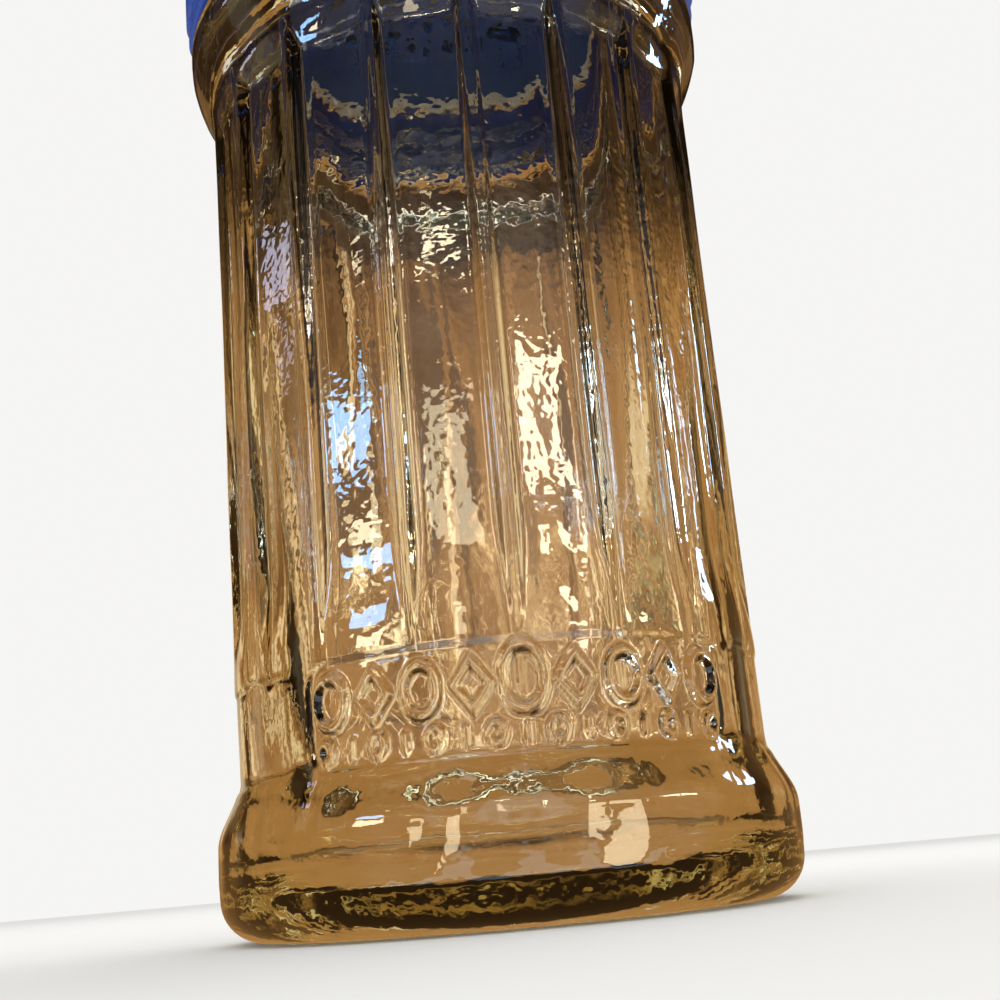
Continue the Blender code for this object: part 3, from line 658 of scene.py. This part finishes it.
eye = np.array([distance * np.sin(azimuth), -distance * np.cos(azimuth), eye_height])
pose = np.eye(4)
pose[:3, 0], pose[:3, 1], pose[:3, 2], pose[:3, 3] = side, top, -look, eye
camera.matrix_world = pose.T.tolist()
bpy.context.scene.camera = camera


def flat_sheet(name, left, right, near, far, height):
    """Mesh of one level rectangle that faces up."""
    mesh = bpy.data.meshes.new(name)
    corners = [(left, near, height), (right, near, height), (right, far, height), (left, far, height)]
    mesh.from_pydata(corners, [], [(0, 1, 2, 3)])
    return mesh


# Pale table and even daylight
reach = 3.0
floor_mesh = flat_sheet("table_top", -reach, reach, -reach, reach, 0)
floor_material, floor_shader = new_material("pale_table", (0.80, 0.80, 0.795))
floor_shader.inputs["Roughness"].default_value = 0.6
floor_shader.inputs["Specular IOR Level"].default_value = 0.0
floor_mesh.materials.append(floor_material)
table_top = bpy.data.objects.new("table_top", floor_mesh)
bpy.context.scene.collection.objects.link(table_top)
table_top.location = (0, 0, -0.0002)

bpy.context.scene.view_settings.view_transform = "Standard"
world = bpy.data.worlds.new("studio")
bpy.context.scene.world = world
world.use_nodes = True
world.node_tree.nodes["Background"].inputs["Color"].default_value = (1.0, 0.995, 0.985, 1.0)
world.node_tree.nodes["Background"].inputs["Strength"].default_value = 0.92


def glowing_material(name, colour, strength):
    """Material that only gives light; returns it with its emission node."""
    material = bpy.data.materials.new(name)
    material.use_nodes = True
    tree = material.node_tree
    tree.nodes.remove(tree.nodes["Principled BSDF"])
    glow = add_node(tree, "ShaderNodeEmission", (0, 0), Color=(*colour, 1.0), Strength=strength)
    tree.links.new(glow.outputs["Emission"], tree.nodes["Material Output"].inputs["Surface"])
    return material, glow


def show_in_gloss_only(thing):
    """Leave an object visible only to the rays that glass and plastic mirror or let through."""
    for kind in ("camera", "diffuse", "shadow", "volume_scatter"):
        setattr(thing, "visible_" + kind, False)


# Warm surround: a wall of brown card round the table, which the glass bends and mirrors as the brown, cream
# and dark streaks of a room. It is paler towards the eye, calmer near the table and dark above, and the
# camera doesn't see it.
card_rows = np.array([(0.0001, -0.0001), (0.55, -0.0001), (0.55, 0.25), (0.55, 0.5), (0.50, 0.75)])
card_grid = turned_grid(card_rows, np.linspace(0, 2 * np.pi, 96, endpoint=False))
card_here = np.arange(card_grid[..., 0].size).reshape(card_grid.shape[:2])
card_right = np.roll(card_here, -1, axis=1)
card_faces = np.stack([card_here[:-1], card_here[1:], card_right[1:], card_right[:-1]], axis=-1)
card_mesh = bpy.data.meshes.new("warm_surround")
card_mesh.from_pydata(card_grid.reshape(-1, 3).tolist(), [], card_faces.reshape(-1, 4).tolist())
card_material, glow = glowing_material("brown_card", (1.0, 1.0, 1.0), 1.0)
tree = card_material.node_tree
place = add_node(tree, "ShaderNodeTexCoord", (-6, 0))
stretch = add_node(tree, "ShaderNodeMapping", (-5, 0), Scale=(1.0, 1.0, 0.45))
patches = add_node(tree, "ShaderNodeTexNoise", (-4, 0), Scale=5.0, Detail=1.5, Roughness=0.5)
spot = add_node(tree, "ShaderNodeSeparateXYZ", (-6, 2))
tree.links.new(place.outputs["Object"], stretch.inputs["Vector"])
tree.links.new(stretch.outputs["Vector"], patches.inputs["Vector"])
tree.links.new(place.outputs["Object"], spot.inputs["Vector"])

# A Mix node's sockets go by number, because their names repeat
mix_factor, mix_value_a, mix_value_b, mix_colour_a, mix_colour_b = 0, 2, 3, 6, 7
mixed_value, mixed_colour = 0, 2
above_table = add_node(tree, "ShaderNodeMapRange", (-4, 2), From_Min=0.0, From_Max=0.08)
tree.links.new(spot.outputs["Z"], above_table.inputs["Value"])
calm_table = add_node(tree, "ShaderNodeMix", (-3, 2))
calm_table.inputs[mix_value_a].default_value = 0.50
tree.links.new(above_table.outputs["Result"], calm_table.inputs[mix_factor])
tree.links.new(patches.outputs["Fac"], calm_table.inputs[mix_value_b])
browns = colour_ramp(tree, (-2, 0), [(0.36, (0.160, 0.078, 0.028)), (0.46, (0.38, 0.180, 0.052)),
                                     (0.56, (0.52, 0.275, 0.095)), (0.66, (0.95, 0.72, 0.42))])
tree.links.new(calm_table.outputs[mixed_value], browns.inputs["Fac"])
daylight = colour_ramp(tree, (-2, 1), [(0.36, (0.20, 0.15, 0.12)), (0.64, (0.82, 0.74, 0.66))])
tree.links.new(patches.outputs["Fac"], daylight.inputs["Fac"])
towards_eye = add_node(tree, "ShaderNodeMapRange", (-4, 3), From_Min=-0.12, From_Max=-0.38)
tree.links.new(spot.outputs["Y"], towards_eye.inputs["Value"])
room = add_node(tree, "ShaderNodeMix", (-1, 1), {"data_type": "RGBA"})
tree.links.new(towards_eye.outputs["Result"], room.inputs[mix_factor])
tree.links.new(browns.outputs["Color"], room.inputs[mix_colour_a])
tree.links.new(daylight.outputs["Color"], room.inputs[mix_colour_b])
tree.links.new(room.outputs[mixed_colour], glow.inputs["Color"])
dark_ceiling = add_node(tree, "ShaderNodeMapRange", (-4, 4), From_Min=0.35, From_Max=0.40,
                        To_Min=1.0, To_Max=0.15)
tree.links.new(spot.outputs["Z"], dark_ceiling.inputs["Value"])
tree.links.new(dark_ceiling.outputs["Result"], glow.inputs["Strength"])
card_mesh.materials.append(card_material)
surround = bpy.data.objects.new("warm_surround", card_mesh)
bpy.context.scene.collection.objects.link(surround)
show_in_gloss_only(surround)

# White sheet: card that lies before the jar and lights the cap's inside through the glass
sheet_mesh = flat_sheet("white_sheet", -0.12, 0.12, -0.42, -0.09, 0.0004)
sheet_material, _ = glowing_material("lit_sheet", (0.72, 0.90, 1.0), 2.0)
sheet_mesh.materials.append(sheet_material)
sheet = bpy.data.objects.new("white_sheet", sheet_mesh)
bpy.context.scene.collection.objects.link(sheet)
show_in_gloss_only(sheet)


def add_softbox(name, azimuth, elevation, distance, size, brightness, colour, lights_floor=False):
    """Rectangular area light that faces the middle of the shaker from an azimuth to the right of the front;
    its power is pi * area * brightness. It shows in gloss alone unless it lights the floor."""
    data = bpy.data.lights.new(name, "AREA")
    data.shape = "RECTANGLE"
    data.size, data.size_y = size
    data.energy = np.pi * size[0] * size[1] * brightness
    data.color = colour
    light = bpy.data.objects.new(name, data)
    bpy.context.scene.collection.objects.link(light)
    a, e = np.radians([azimuth, elevation])
    away = np.array([np.sin(a) * np.cos(e), -np.cos(a) * np.cos(e), np.sin(e)])
    right = np.array([np.cos(a), np.sin(a), 0.0])
    upward = np.cross(away, right)
    pose = np.eye(4)
    pose[:3, 0], pose[:3, 1], pose[:3, 2] = right, upward, away
    pose[:3, 3] = away * distance + np.array([0, 0, 0.07])
    light.matrix_world = pose.T.tolist()
    light.visible_diffuse = lights_floor


# Small lamps stand where the glints on the glass point back to, and two large ones light the rest
cream, sky, deep_sky, lavender = (1.0, 0.86, 0.58), (0.42, 0.68, 1.0), (0.30, 0.60, 1.0), (0.72, 0.74, 1.0)
add_softbox("top_glint", -14, 27, 0.48, (0.060, 0.008), 26, cream)
add_softbox("top_left_glint", -54, 27, 0.48, (0.020, 0.010), 14, cream)
add_softbox("soft_panel", -15.5, 11, 0.48, (0.045, 0.135), 9, cream)
add_softbox("warm_lamp", 25, 17.6, 0.48, (0.020, 0.070), 26, cream)
add_softbox("low_middle_lamp", 26, 7, 0.48, (0.060, 0.026), 24, cream)
add_softbox("low_right_lamp", 62, 8, 0.48, (0.060, 0.030), 24, cream)
add_softbox("low_left_lamp", -57, 8, 0.48, (0.060, 0.060), 20, cream)
add_softbox("base_left_lamp", -27, -4, 0.48, (0.120, 0.060), 10, cream)
add_softbox("base_right_lamp", 30, -4, 0.48, (0.150, 0.060), 10, cream)
add_softbox("left_window", -58, 17, 0.48, (0.060, 0.038), 22, deep_sky)
add_softbox("right_window", 100, 18, 0.48, (0.040, 0.080), 26, sky)
add_softbox("far_window", -100, 28, 0.48, (0.030, 0.030), 5, lavender)
add_softbox("overhead", 150, 62, 0.90, (0.60, 0.50), 2.2, (1.0, 0.97, 0.92), True)
add_softbox("front_fill", -30, 50, 0.90, (0.60, 0.50), 1.4, (1.0, 0.98, 0.95), True)
